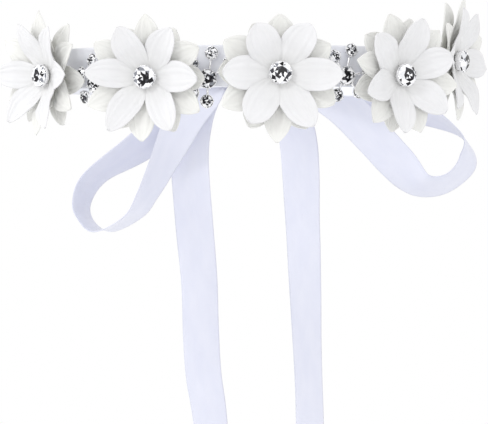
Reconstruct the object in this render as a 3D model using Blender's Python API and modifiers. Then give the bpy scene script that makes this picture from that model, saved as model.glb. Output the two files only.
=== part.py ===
"""Flower crown: a satin ribbon circlet with five layered flowers, four rhinestone sprays and a bow.

Metres, +Z up. The origin is the centre of the circlet, halfway up its ribbon. The middle flower
faces -Y and the bow is tied at the back, towards +Y.
"""

import math
from collections import namedtuple

import bmesh
import bpy
from mathutils import Matrix, Vector

MM = 0.001
GAP = 0.3 * MM

# Ribbon: one satin ribbon makes the circlet, the knot, the loops and the tails.
RIBBON_WIDTH = 17.6 * MM
RIBBON_THICKNESS = 0.8 * MM
CIRCLET_RADIUS = 88.0 * MM
CIRCLET_STEPS = 72
CIRCLET_OUTSIDE = CIRCLET_RADIUS + RIBBON_THICKNESS
GATHER_START = 34.0
GATHER_END = 5.0
GATHERED_SHARE = 0.45

# Flower: three whorls of six petals on a stitched boss, with a claw-set stone in the middle.
PETALS = 6
PETAL_LENGTH = 25.0 * MM
PETAL_HALF_WIDTH = 6.6 * MM
PETAL_THICKNESS = 0.8 * MM
PETAL_SEGMENTS = 6
PETAL_TIP_HALF_WIDTH = 1.6 * MM
PETAL_CUP = 1.3 * MM
WIDEST_AT = 14.0 * MM
HUB_RADIUS = 4.0 * MM
JOINED_SHARE = 1 / PETAL_SEGMENTS
BOSS_RADIUS = 3.2 * MM
BOSS_SIDES = 10
FLOWER_STONE_RADIUS = 4.5 * MM

# Spray: five small stones on arms round a larger one.
SPRAY_CENTRE_RADIUS = 3.7 * MM
SPRAY_STONE_RADIUS = 2.5 * MM
SPRAY_ARM_RADIUS = 0.6 * MM
SPRAY_STAND_OFF = 0.5 * MM
ARM_SIDES = 6
ARM_BITE = 0.85

# Stones and cups, as shares of the stone's radius.
STONE_SIDES = 8
CUP_SIDES = 12
STONE_DEPTH = 0.52
STONE_GIRDLE = 0.12
STONE_CROWN = 0.30
TABLE_SHARE = 0.56
CUP_WALL = 0.45 * MM
CUP_FLOOR = 0.5 * MM

# Bow: tied a little to one side of the back centre.
BOW_ANGLE = 174.0
KNOT_HALF_WIDTH = 6.5 * MM
KNOT_HALF_HEIGHT = 7.3 * MM
KNOT_DEPTH = 11.0 * MM
STRIP_SEGMENTS_PER_STATION = 3

Whorl = namedtuple("Whorl", "name height rise curl turn length")
WHORLS = (
    Whorl("rear", 4.6 * MM, 8.0, -0.4 * MM, 0.0, 1.00),
    Whorl("middle", 6.2 * MM, 17.0, -0.8 * MM, 30.0, 1.05),
    Whorl("front", 7.8 * MM, 27.0, -1.6 * MM, 0.0, 0.98),
)

# Each flower's place round the circlet, the way it faces, its height, its spin about its own axis,
# the extra length of its boss, and the share of the usual rise that its petals have.
Flower = namedtuple("Flower", "place facing height spin lift opening")
FLOWERS = (
    Flower(-73.0, -58.0, -3.0 * MM, -4.0, 1.5 * MM, 1.0),
    Flower(-35.5, -22.0, -5.0 * MM, -3.0, 2.5 * MM, 1.0),
    Flower(-0.3, -4.0, -3.3 * MM, -2.0, 0.0, 1.0),
    Flower(33.5, 26.0, -3.7 * MM, 18.0, 1.5 * MM, 1.0),
    Flower(58.0, 60.0, 3.5 * MM, -6.0, 0.0, 0.8),
)

# Each spray's place and height, then the angle and the reach in millimetres of each small stone.
Spray = namedtuple("Spray", "place height stones")
SPRAYS = (
    Spray(-54.5, -6.6 * MM, ((54, 10.6), (102, 9.8), (154, 9.6), (221, 8.6), (281, 8.4))),
    Spray(-19.3, -5.6 * MM, ((35, 10.8), (81, 10.8), (137, 8.8), (222, 8.4), (268, 9.2))),
    Spray(18.3, -4.2 * MM, ((-117, 9.0), (-46, 9.0), (10, 10.2), (76, 11.0), (123, 9.6))),
    Spray(48.0, -2.2 * MM, ((-130, 9.0), (-62, 8.8), (18, 8.8), (80, 9.8), (120, 11.4))),
)

# Where each strip of the bow swings, in millimetres on the same axes as its stations. A loop lifts
# about the bow's back axis and a tail swings out about its side axis.
LEFT_LOOP_PIVOT = (-8.2, 3.8, 0.0)
RIGHT_LOOP_PIVOT = (8.2, 3.8, 0.0)
TAIL_PIVOT = (0.0, 9.0, -2.0)

# Stations along each strip of the bow, in millimetres: side, back and up from the knot's place on
# the circlet, then the way the ribbon's width points there, then the share of its width.
LEFT_LOOP = (
    (-8.2, 2.4, -0.6, 0.0, 0.0, 1.0, 0.34),
    (-11.5, 2.5, -1.6, -0.15, 0.0, 0.98, 0.50),
    (-17.0, 2.7, -7.5, -0.60, 0.0, 0.80, 0.85),
    (-26.0, 3.8, -17.3, -0.97, -0.1, 0.25, 1.0),
    (-35.0, 5.5, -35.1, -0.79, -0.59, 0.16, 1.0),
    (-44.0, 8.8, -53.3, -0.59, -0.80, 0.05, 1.0),
    (-50.5, 12.0, -63.3, -0.54, -0.84, 0.0, 1.0),
    (-64.0, 19.5, -70.2, -0.50, -0.86, 0.0, 1.0),
    (-71.8, 24.5, -65.3, -0.43, -0.90, 0.05, 1.0),
    (-73.8, 25.5, -56.8, -0.50, -0.87, 0.03, 1.0),
    (-67.5, 23.5, -45.3, -0.66, -0.74, 0.11, 1.0),
    (-47.0, 16.5, -31.3, -0.57, -0.55, 0.60, 1.0),
    (-22.0, 8.0, -10.0, -0.40, -0.15, 0.90, 0.88),
    (-12.0, 5.6, -1.0, -0.10, 0.0, 1.0, 0.52),
    (-8.2, 5.2, 0.0, 0.0, 0.0, 1.0, 0.34),
)
RIGHT_LOOP = (
    (8.2, 2.4, 0.0, 0.0, 0.0, 1.0, 0.34),
    (12.0, 2.5, -0.2, 0.05, 0.0, 1.0, 0.50),
    (20.0, 2.8, -1.0, 0.20, 0.0, 0.98, 0.85),
    (34.0, 3.4, -5.0, 0.50, 0.0, 0.87, 1.0),
    (46.5, 3.8, -13.0, 0.70, -0.05, 0.71, 1.0),
    (61.0, 4.3, -27.6, 0.68, -0.10, 0.73, 1.0),
    (70.5, 5.0, -37.8, 0.75, -0.20, 0.63, 1.0),
    (82.0, 6.6, -49.2, 0.30, -0.77, 0.56, 1.0),
    (95.0, 8.3, -48.5, -0.11, -0.87, 0.48, 1.0),
    (105.0, 10.0, -38.0, -0.53, -0.83, 0.15, 1.0),
    (102.0, 12.3, -25.6, 0.0, -1.0, 0.0, 1.0),
    (82.0, 15.5, -14.5, 0.20, -0.80, 0.55, 1.0),
    (58.0, 14.5, -7.5, 0.10, -0.40, 0.90, 1.0),
    (37.0, 10.5, -3.0, 0.0, -0.10, 1.0, 1.0),
    (20.0, 7.0, -0.5, 0.0, 0.0, 1.0, 0.85),
    (12.0, 5.6, 0.0, 0.0, 0.0, 1.0, 0.50),
    (8.2, 5.2, 0.0, 0.0, 0.0, 1.0, 0.34),
)
LEFT_TAIL = (
    (-7.4, 9.0, -2.0, 0.0, 0.0, -1.0, 0.34),
    (-10.5, 11.0, -3.2, 0.10, 0.0, -1.0, 0.45),
    (-15.5, 15.0, -7.5, 0.45, 0.0, -0.88, 0.68),
    (-21.5, 18.5, -18.5, 0.90, 0.0, -0.42, 0.94),
    (-24.0, 19.0, -36.0, 1.0, 0.0, -0.05, 1.0),
    (-22.0, 16.0, -66.7, 1.0, 0.1, 0.05, 1.0),
    (-19.6, 13.5, -93.8, 0.96, 0.28, 0.0, 1.0),
    (-18.9, 13.5, -117.0, 0.95, 0.30, 0.0, 1.0),
    (-17.6, 15.0, -137.0, 0.94, 0.33, 0.1, 1.0),
    (-14.5, 14.0, -158.0, 0.90, 0.43, 0.1, 1.0),
    (-11.0, 12.0, -200.0, 0.85, 0.50, 0.0, 1.0),
)
RIGHT_TAIL = (
    (7.4, 9.0, -2.0, 0.0, 0.0, 1.0, 0.34),
    (10.5, 11.0, -3.2, 0.10, 0.0, 1.0, 0.45),
    (16.5, 14.5, -7.5, 0.45, 0.0, 0.88, 0.68),
    (23.5, 17.0, -18.0, 0.92, 0.0, 0.38, 0.94),
    (26.8, 16.0, -33.0, 1.0, 0.05, 0.03, 1.0),
    (28.2, 13.5, -63.0, 0.93, 0.36, 0.0, 1.0),
    (29.2, 12.5, -87.0, 0.88, 0.48, 0.0, 1.0),
    (30.0, 13.0, -107.0, 0.82, 0.57, 0.0, 1.0),
    (30.8, 14.5, -128.0, 0.77, 0.64, 0.0, 1.0),
    (31.6, 14.0, -150.0, 0.75, 0.66, 0.0, 1.0),
    (32.8, 12.0, -196.0, 0.78, 0.62, 0.0, 1.0),
)


def clear_scene():
    for obj in list(bpy.data.objects):
        bpy.data.objects.remove(obj, do_unlink=True)


def new_collection(name):
    collection = bpy.data.collections.new(name)
    bpy.context.scene.collection.children.link(collection)
    return collection


def new_material(name, colour, roughness, metallic=0.0):
    material = bpy.data.materials.new(name)
    material.use_nodes = True
    shader = material.node_tree.nodes["Principled BSDF"]
    shader.inputs["Base Color"].default_value = (*colour, 1.0)
    shader.inputs["Roughness"].default_value = roughness
    shader.inputs["Metallic"].default_value = metallic
    return material


def facing_frame(place, facing, height, radius=CIRCLET_OUTSIDE):
    """Local +Z points out along facing, +Y is up, at an angle round the circlet from the front."""
    place, facing = math.radians(place), math.radians(facing)
    side = Vector((math.cos(facing), math.sin(facing), 0.0))
    out = Vector((math.sin(facing), -math.cos(facing), 0.0))
    spot = Vector((radius * math.sin(place), -radius * math.cos(place), height))
    frame = Matrix((side, Vector((0.0, 0.0, 1.0)), out)).transposed().to_4x4()
    frame.translation = spot
    return frame


def add_object(name, mesh, collection, material, frame=Matrix()):
    obj = bpy.data.objects.new(name, mesh)
    obj.matrix_world = frame
    mesh.materials.append(material)
    collection.objects.link(obj)
    return obj


def mesh_from(bm, name, smooth=False):
    mesh = bpy.data.meshes.new(name)
    bm.to_mesh(mesh)
    bm.free()
    if smooth:
        mesh.shade_smooth()
    return mesh


def as_helper(obj):
    obj.hide_render = True
    obj.display_type = "WIRE"
    return obj


def turned(name, profile, sides, collection, material, frame):
    """A profile of (radius, height) points, run from the inside top down the outside, turned about Z."""
    mesh = bpy.data.meshes.new(name)
    edges = [(i, i + 1) for i in range(len(profile) - 1)]
    mesh.from_pydata([(radius, 0.0, height) for radius, height in profile], edges, [])
    obj = add_object(name, mesh, collection, material, frame)
    screw = obj.modifiers.new("turn", "SCREW")
    screw.steps = screw.render_steps = sides
    screw.use_merge_vertices = True
    screw.merge_threshold = 0.00001
    screw.use_smooth_shade = False
    return obj


def stone_profile(radius, base):
    """A cut stone from its table to its point; base is the height of the point."""
    girdle = base + radius * STONE_DEPTH
    belt = girdle + radius * STONE_GIRDLE
    table = belt + radius * STONE_CROWN
    return (
        (0.0, table),
        (radius * TABLE_SHARE, table),
        (radius, belt),
        (radius, girdle),
        (0.0, base),
    )


def cup_profile(radius, base):
    """The open cup that holds a stone of this radius, standing on base."""
    bore = radius + GAP
    seat = base + CUP_FLOOR
    rim = seat + radius * (STONE_DEPTH + STONE_GIRDLE) + GAP
    return (
        (0.0, seat),
        (bore, seat + radius * STONE_DEPTH),
        (bore, rim),
        (bore + CUP_WALL, rim),
        (bore + CUP_WALL, rim - radius * 0.4),
        (radius * 0.75, base),
        (0.0, base),
    )


def petal_reach(along):
    """How far from the axis a point at this share of the petal's length is."""
    eased = along * (1 + 0.55 * along * (1 - along))
    return HUB_RADIUS + (PETAL_LENGTH - HUB_RADIUS) * eased


def petal_half_width(reach, along):
    """Half the petal's width: petals are joined near the hub, then round off to a blunt tip."""
    sector = math.tan(math.pi / PETALS)
    if along <= JOINED_SHARE + 0.001:
        return reach * sector
    if reach <= WIDEST_AT:
        return min(PETAL_HALF_WIDTH, reach * sector - GAP)
    past = (reach - WIDEST_AT) / (PETAL_LENGTH - WIDEST_AT)
    round_off = max(0.0, 1 - past**2.5) ** 0.65
    return max(PETAL_TIP_HALF_WIDTH, PETAL_HALF_WIDTH * round_off)


def petal_point(whorl, along, across):
    """A point of one petal that lies along +X, with the hub's plane at the whorl's height."""
    reach = petal_reach(along)
    half = petal_half_width(reach, along)
    spread = reach - HUB_RADIUS
    rise = spread * math.tan(math.radians(whorl.rise)) * min(1.0, 0.35 + along)
    cup = PETAL_CUP * across**2 * math.sin(math.pi * along) * (along > JOINED_SHARE + 0.001)
    curl = whorl.curl * along**3
    lengthways = reach * (whorl.length if along > JOINED_SHARE + 0.001 else 1.0)
    if along == 0:
        turn = across * math.pi / PETALS
        return Vector((HUB_RADIUS * math.cos(turn), HUB_RADIUS * math.sin(turn), 0.0))
    return Vector((lengthways, half * across, rise + cup + curl))


def petal_whorl(name, whorl, spec, collection, material, frame):
    """Six petals and their hub as one sheet, thickened by Solidify."""
    whorl = whorl._replace(rise=whorl.rise * spec.opening)
    start = math.radians(whorl.turn + spec.spin)
    bm = bmesh.new()
    for petal in range(PETALS):
        rotation = Matrix.Rotation(start + math.tau * petal / PETALS, 3, "Z")
        made = bmesh.ops.create_grid(bm, x_segments=PETAL_SEGMENTS, y_segments=2, size=1)
        for vert in made["verts"]:
            along = round((vert.co.x + 1) / 2, 6)
            vert.co = rotation @ petal_point(whorl, along, round(vert.co.y, 6))
    hub = bmesh.ops.create_circle(bm, cap_ends=True, segments=2 * PETALS, radius=HUB_RADIUS)
    bmesh.ops.rotate(bm, verts=hub["verts"], cent=(0, 0, 0), matrix=Matrix.Rotation(start, 3, "Z"))
    bmesh.ops.remove_doubles(bm, verts=bm.verts, dist=0.02 * MM)
    bmesh.ops.recalc_face_normals(bm, faces=bm.faces)
    bmesh.ops.translate(bm, verts=bm.verts, vec=(0, 0, whorl.height + spec.lift))
    obj = add_object(name, mesh_from(bm, name, smooth=True), collection, material, frame)
    solidify = obj.modifiers.new("thickness", "SOLIDIFY")
    solidify.thickness = PETAL_THICKNESS
    solidify.offset = 0
    return obj


def boss_clearance(spec):
    """How high the boss's foot starts so that its tilted end clears the circlet."""
    tilt = abs(math.radians(spec.facing - spec.place))
    return GAP + BOSS_RADIUS * math.sin(tilt)


def flower(number, spec, collection, helpers, materials):
    name = f"flower_{number}"
    frame = facing_frame(spec.place, spec.facing, spec.height)
    for whorl in WHORLS:
        petals = petal_whorl(
            f"{name}_{whorl.name}_petals", whorl, spec, collection, materials["petal"], frame
        )
        if whorl.name == "rear":
            boss = turned(
                f"{name}_boss",
                (
                    (0.0, whorl.height + spec.lift),
                    (BOSS_RADIUS, whorl.height + spec.lift),
                    (BOSS_RADIUS, boss_clearance(spec)),
                    (0.0, boss_clearance(spec)),
                ),
                BOSS_SIDES,
                helpers,
                materials["petal"],
                frame,
            )
            union = petals.modifiers.new("stitched boss", "BOOLEAN")
            union.operation = "UNION"
            union.object = as_helper(boss)
    top = WHORLS[-1].height + spec.lift + PETAL_THICKNESS / 2 + GAP
    turned(
        f"{name}_stone_cup",
        cup_profile(FLOWER_STONE_RADIUS, top),
        CUP_SIDES,
        collection,
        materials["silver"],
        frame,
    )
    turned(
        f"{name}_stone",
        stone_profile(FLOWER_STONE_RADIUS, top + CUP_FLOOR + GAP),
        STONE_SIDES,
        collection,
        materials["crystal"],
        frame,
    )


def spray_spots(spec):
    """The middle of each small stone in the spray's own plane."""
    spots = []
    for degrees, reach in spec.stones:
        angle = math.radians(degrees)
        spots.append(Vector((math.cos(angle), math.sin(angle), 0.0)) * reach * MM)
    return spots


def spray_arm(name, spot, collection, material, frame):
    """A round arm from inside the middle cup's wall to inside the small cup's."""
    mesh = bmesh.new()
    start = spot.normalized() * SPRAY_CENTRE_RADIUS * ARM_BITE
    end = spot - spot.normalized() * SPRAY_STONE_RADIUS * ARM_BITE
    bmesh.ops.create_cone(
        mesh,
        cap_ends=True,
        segments=ARM_SIDES,
        radius1=SPRAY_ARM_RADIUS,
        radius2=SPRAY_ARM_RADIUS,
        depth=(end - start).length,
    )
    turn = Matrix.Rotation(math.atan2(spot.y, spot.x), 4, "Z") @ Matrix.Rotation(math.pi / 2, 4, "Y")
    place = Matrix.Translation((start + end) / 2 + Vector((0, 0, SPRAY_ARM_RADIUS + 0.05 * MM)))
    bmesh.ops.transform(mesh, verts=mesh.verts, matrix=place @ turn)
    return as_helper(add_object(name, mesh_from(mesh, name), collection, material, frame))


def spray(number, spec, collection, helpers, materials):
    name = f"spray_{number}"
    frame = facing_frame(spec.place, spec.place, spec.height, CIRCLET_OUTSIDE + SPRAY_STAND_OFF)
    arms = bpy.data.collections.new(f"{name}_arms")
    helpers.children.link(arms)
    casting = turned(
        f"{name}_casting",
        cup_profile(SPRAY_CENTRE_RADIUS, 0.0),
        CUP_SIDES,
        collection,
        materials["silver"],
        frame,
    )
    turned(
        f"{name}_centre_stone",
        stone_profile(SPRAY_CENTRE_RADIUS, CUP_FLOOR + GAP),
        STONE_SIDES,
        collection,
        materials["crystal"],
        frame,
    )
    for index, spot in enumerate(spray_spots(spec), start=1):
        stone_frame = frame @ Matrix.Translation(spot)
        spray_arm(f"{name}_arm_{index}", spot, arms, materials["silver"], frame)
        cup = turned(
            f"{name}_cup_{index}",
            cup_profile(SPRAY_STONE_RADIUS, 0.0),
            STONE_SIDES,
            arms,
            materials["silver"],
            stone_frame,
        )
        as_helper(cup)
        turned(
            f"{name}_stone_{index}",
            stone_profile(SPRAY_STONE_RADIUS, CUP_FLOOR + GAP),
            STONE_SIDES,
            collection,
            materials["crystal"],
            stone_frame,
        )
    union = casting.modifiers.new("arms and cups", "BOOLEAN")
    union.operation = "UNION"
    union.operand_type = "COLLECTION"
    union.collection = arms


def circlet_half_width(angle):
    """Half the ribbon's width at an angle from the front: the bow's knot gathers it."""
    from_knot = abs((angle - BOW_ANGLE + 180.0) % 360.0 - 180.0)
    share = min(1.0, max(0.0, (from_knot - GATHER_END) / (GATHER_START - GATHER_END)))
    eased = share * share * (3 - 2 * share)
    return RIBBON_WIDTH / 2 * (GATHERED_SHARE + (1 - GATHERED_SHARE) * eased)


def circlet(collection, material):
    """The ribbon round the head, as one closed strip thickened by Solidify."""
    bm = bmesh.new()
    radius = CIRCLET_RADIUS + RIBBON_THICKNESS / 2
    rows = []
    for step in range(CIRCLET_STEPS):
        angle = 360.0 * (step + 0.5) / CIRCLET_STEPS
        out = Vector((math.sin(math.radians(angle)), -math.cos(math.radians(angle)), 0.0))
        up = Vector((0.0, 0.0, circlet_half_width(angle)))
        rows.append([bm.verts.new(out * radius + side * up) for side in (-1, 1)])
    for first, second in zip(rows, rows[1:] + rows[:1]):
        bm.faces.new((first[0], second[0], second[1], first[1]))
    mesh = mesh_from(bm, "ribbon_circlet", smooth=True)
    obj = add_object("ribbon_circlet", mesh, collection, material)
    solidify = obj.modifiers.new("thickness", "SOLIDIFY")
    solidify.thickness = RIBBON_THICKNESS
    solidify.offset = 0
    return obj


def catmull_rom(stations, per_station):
    """Points on a smooth curve through the stations; every component is carried along."""
    last = len(stations) - 1
    points = []
    for i in range(last):
        a = stations[max(i - 1, 0)]
        b, c = stations[i], stations[i + 1]
        d = stations[min(i + 2, last)]
        for step in range(per_station):
            t = step / per_station
            points.append(
                tuple(
                    0.5
                    * (
                        2 * q
                        + (r - p) * t
                        + (2 * p - 5 * q + 4 * r - s) * t * t
                        + (3 * q - p - 3 * r + s) * t**3
                    )
                    for p, q, r, s in zip(a, b, c, d)
                )
            )
    points.append(tuple(stations[-1]))
    return points


def ribbon_strip(name, stations, pivot, frame, collection, material):
    """A flat strip through the stations, its width square to its run, thickened by Solidify.

    Its origin is the pivot that it swings about, on the bow's own axes.
    """
    points = catmull_rom(stations, STRIP_SEGMENTS_PER_STATION)
    places = [(Vector(p[:3]) - Vector(pivot)) * MM for p in points]
    bm = bmesh.new()
    rows = []
    for i, point in enumerate(points):
        run = (places[min(i + 1, len(places) - 1)] - places[max(i - 1, 0)]).normalized()
        width = Vector(point[3:6])
        width = (width - width.dot(run) * run).normalized()
        half = RIBBON_WIDTH / 2 * point[6]
        rows.append([bm.verts.new(places[i] + side * half * width) for side in (-1, 1)])
    for first, second in zip(rows, rows[1:]):
        bm.faces.new((first[0], first[1], second[1], second[0]))
    hinge = frame @ Matrix.Translation(Vector(pivot) * MM)
    obj = add_object(name, mesh_from(bm, name, smooth=True), collection, material, hinge)
    solidify = obj.modifiers.new("thickness", "SOLIDIFY")
    solidify.thickness = RIBBON_THICKNESS
    solidify.offset = 0
    return obj


def bow_frame():
    """Local +X to the side, +Y out of the back and +Z up, on the circlet at the knot."""
    angle = math.radians(BOW_ANGLE)
    back = Vector((math.sin(angle), -math.cos(angle), 0.0))
    side = Vector((-math.cos(angle), -math.sin(angle), 0.0))
    frame = Matrix((side, back, Vector((0.0, 0.0, 1.0)))).transposed().to_4x4()
    frame.translation = back * CIRCLET_OUTSIDE
    return frame


def knot(frame, collection, material):
    """A rounded wrap of ribbon that stands on the circlet."""
    bm = bmesh.new()
    bmesh.ops.create_cube(bm, size=1)
    size = Vector((2 * KNOT_HALF_WIDTH, KNOT_DEPTH - GAP, 2 * KNOT_HALF_HEIGHT))
    bmesh.ops.scale(bm, verts=bm.verts, vec=size)
    bmesh.ops.translate(bm, verts=bm.verts, vec=(0, (KNOT_DEPTH + GAP) / 2, 0))
    obj = add_object("bow_knot", mesh_from(bm, "bow_knot"), collection, material, frame)
    bevel = obj.modifiers.new("rounding", "BEVEL")
    bevel.width = 2.6 * MM
    bevel.segments = 2
    return obj


def bow(collection, material):
    frame = bow_frame()
    knot(frame, collection, material)
    for name, stations, pivot in (
        ("bow_left_loop", LEFT_LOOP, LEFT_LOOP_PIVOT),
        ("bow_right_loop", RIGHT_LOOP, RIGHT_LOOP_PIVOT),
        ("bow_left_tail", LEFT_TAIL, TAIL_PIVOT),
        ("bow_right_tail", RIGHT_TAIL, TAIL_PIVOT),
    ):
        ribbon_strip(name, stations, pivot, frame, collection, material)


def main():
    clear_scene()
    crown = new_collection("flower crown")
    helpers = new_collection("helpers")
    materials = {
        "petal": new_material("petal", (0.93, 0.93, 0.91), 0.6),
        "satin": new_material("satin", (0.88, 0.89, 0.95), 0.35),
        "silver": new_material("silver", (0.85, 0.85, 0.86), 0.2, 1.0),
        "crystal": new_material("crystal", (0.9, 0.92, 0.95), 0.05),
    }
    circlet(crown, materials["satin"])
    for number, spec in enumerate(FLOWERS, start=1):
        flower(number, spec, crown, helpers, materials)
    for number, spec in enumerate(SPRAYS, start=1):
        spray(number, spec, crown, helpers, materials)
    bow(crown, materials["satin"])


main()
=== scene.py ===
"""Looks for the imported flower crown: satin ribbon, embossed petals, faceted stones and claw cups.

Metres, in the CAD model's frame: the origin is the circlet's centre, +Z is up and the middle
flower faces -Y.
"""

import math
import random
from collections import namedtuple

import bmesh
import bpy
from mathutils import Matrix, Vector, noise

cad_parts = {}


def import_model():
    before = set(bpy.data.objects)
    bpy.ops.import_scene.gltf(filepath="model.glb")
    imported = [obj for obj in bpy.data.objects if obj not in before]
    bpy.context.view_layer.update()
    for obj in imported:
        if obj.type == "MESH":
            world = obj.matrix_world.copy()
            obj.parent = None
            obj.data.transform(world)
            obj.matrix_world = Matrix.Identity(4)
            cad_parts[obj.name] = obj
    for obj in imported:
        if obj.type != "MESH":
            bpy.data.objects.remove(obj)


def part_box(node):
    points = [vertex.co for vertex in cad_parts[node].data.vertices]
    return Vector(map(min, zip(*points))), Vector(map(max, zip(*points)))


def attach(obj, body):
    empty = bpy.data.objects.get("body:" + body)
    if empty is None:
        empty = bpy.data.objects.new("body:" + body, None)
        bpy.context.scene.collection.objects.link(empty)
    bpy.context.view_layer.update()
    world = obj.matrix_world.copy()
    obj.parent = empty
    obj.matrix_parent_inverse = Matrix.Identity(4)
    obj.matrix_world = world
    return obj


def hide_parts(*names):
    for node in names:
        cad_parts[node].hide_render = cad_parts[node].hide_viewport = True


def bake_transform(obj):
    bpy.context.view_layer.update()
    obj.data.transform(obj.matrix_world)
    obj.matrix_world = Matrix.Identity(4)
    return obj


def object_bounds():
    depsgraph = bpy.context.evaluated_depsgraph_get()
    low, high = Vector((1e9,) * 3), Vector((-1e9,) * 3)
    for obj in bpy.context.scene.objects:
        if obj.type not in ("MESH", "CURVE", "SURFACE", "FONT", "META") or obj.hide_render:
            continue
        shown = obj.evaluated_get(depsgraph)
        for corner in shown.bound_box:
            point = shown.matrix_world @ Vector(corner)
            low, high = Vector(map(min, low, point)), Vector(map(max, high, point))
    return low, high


MM = 0.001
SEED = 7

# Camera: level, a little to one side of the middle flower.
CAMERA_TURN = -8.0
CAMERA_DISTANCE = 1.92
CAMERA_SIDE = -2.6 * MM
CAMERA_HEIGHT = -61.5 * MM
LENS_MM = 322.0
SENSOR_MM = 36.0

# Petals.
PETALS = 6
PETAL_LENGTH = 25.4 * MM
PETAL_HALF_WIDTH = 6.9 * MM
PETAL_TIP_HALF_WIDTH = 0.5 * MM
PETAL_THICKNESS = 0.55 * MM
PETAL_WIDEST = 12.5 * MM
PETAL_ROOT_HALF_WIDTH = 3.7 * MM
PETAL_ROWS = 22
PETAL_COLUMNS = 36
PETAL_CUP = 0.9 * MM
MIDRIB_DEPTH = 0.45 * MM
VEIN_DEPTH = 0.17 * MM
VEINS = 5
PETAL_START = 2.2 * MM
PETAL_NECK = 2.5 * MM
HUB_RADIUS = 4.4 * MM
HUB_DROP = 0.1 * MM
HUB_WALL = 0.7 * MM
HUB_SIDES = 24
BOSS_RADIUS = 3.2 * MM
BOSS_FOOT = 0.2 * MM
BOSS_SIDES = 28
THREAD_TURNS = 6
THREAD_STEPS = 4 * THREAD_TURNS
THREAD_DEPTH = 0.12 * MM

Whorl = namedtuple("Whorl", "name height rise curl turn length")
WHORLS = (
    Whorl("rear", 4.6 * MM, 8.0, -0.6 * MM, 0.0, 0.97),
    Whorl("middle", 6.2 * MM, 17.0, -1.4 * MM, 30.0, 1.05),
    Whorl("front", 7.8 * MM, 27.0, -2.4 * MM, 0.0, 0.98),
)

# As in the CAD model: place round the circlet, facing, height, spin, lift and the share of the
# usual rise. Width is a share of the usual petal width, and a lower tip is sharper. The leans
# say how much longer the front and the back petals grow towards the right and towards the top.
Flower = namedtuple(
    "Flower", "place facing height spin lift opening width tip front_lean back_lean"
)
FLOWERS = (
    Flower(-73.0, -58.0, -3.0 * MM, -4.0, 1.5 * MM, 1.0, 0.90, 1.8, (0.0, 0.0), (0.03, 0.04)),
    Flower(-35.5, -22.0, -5.0 * MM, -3.0, 2.5 * MM, 1.0, 0.93, 2.6, (-0.02, -0.05), (0.03, -0.04)),
    Flower(-0.3, -4.0, -3.3 * MM, -2.0, 0.0, 1.0, 1.03, 2.8, (0.02, -0.05), (-0.05, -0.09)),
    Flower(33.5, 26.0, -3.7 * MM, 18.0, 1.5 * MM, 1.0, 0.97, 2.4, (-0.08, 0.02), (-0.02, 0.04)),
    Flower(58.0, 60.0, 3.5 * MM, -6.0, 0.0, 0.8, 0.90, 1.8, (0.0, 0.0), (0.0, 0.06)),
)
FLOWER_STONE_RADIUS = 4.5 * MM
FLOWER_STONE_OVERSIZE = 1.04
FLOWER_CUP_STAND = 0.7 * MM

# Place and height, then the angle and reach of each small stone from the middle one.
Spray = namedtuple("Spray", "place height stones")
SPRAYS = (
    Spray(-54.5, -6.6 * MM, ((54, 10.6), (102, 9.8), (154, 9.6), (221, 8.6), (281, 8.4))),
    Spray(-19.3, -5.6 * MM, ((35, 10.8), (81, 10.8), (137, 8.8), (222, 8.4), (268, 9.2))),
    Spray(18.3, -4.2 * MM, ((-117, 9.0), (-46, 9.0), (10, 10.2), (76, 11.0), (123, 9.6))),
    Spray(48.0, -2.2 * MM, ((-130, 9.0), (-62, 8.8), (18, 8.8), (80, 9.8), (120, 11.4))),
)
SPRAY_STAND_OFF = 0.5 * MM
SPRAY_CENTRE_RADIUS = 3.7 * MM
SPRAY_STONE_RADIUS = 2.5 * MM
SPRAY_ARM_RADIUS = 0.5 * MM
SPRAY_ARM_SIDES = 10
SPRAY_ARM_HEIGHT = 0.75 * MM
SPRAY_ARM_BOW = 0.5 * MM
SPRAY_ARM_SHARES = (0, 0.25, 0.5, 0.75, 1)
SPRAY_FACE_TILT = 14.0

# Stones and cups. The stone's depth, belt and crown are shares of its radius.
STONE_DEPTH = 0.52
STONE_BELT = 0.12
STONE_CROWN = 0.30
STONE_GAP = 0.2 * MM
CUP_FLOOR = 0.5 * MM
CUP_GAP = 0.3 * MM
CUP_WALL = 0.28 * MM
CUP_SIDES = 32
CLAW_RADIUS = 0.32 * MM
CLAW_SIDES = 8
BIG_STONE_CLAWS = 6
SMALL_STONE_CLAWS = 4

# Ribbon.
RIBBON_THICKNESS = 0.42 * MM
SELVEDGE_SHARE = 0.09
BODY_THICKNESS_SHARE = 0.72
RIBBON_COLUMNS = 10
PLEATS = 3.2
PLEAT_DEPTH = 1.1 * MM
RIPPLE = 0.25 * MM
STRIP_CROWN = 0.45 * MM
TAIL_SLANT = 5.0 * MM
STEPS_PER_STATION = 8
CIRCLET_STEPS = 240
CIRCLET_INSET = 0.35 * MM
CIRCLET_HEIGHT_SHARE = 0.985
CIRCLET_WAVE = 0.22 * MM
CIRCLET_PLEAT_DEPTH = 0.8 * MM
BOW_ANGLE = 174.0
GATHER_START = 34.0
GATHER_END = 5.0
GATHERED_SHARE = 0.45

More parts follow.
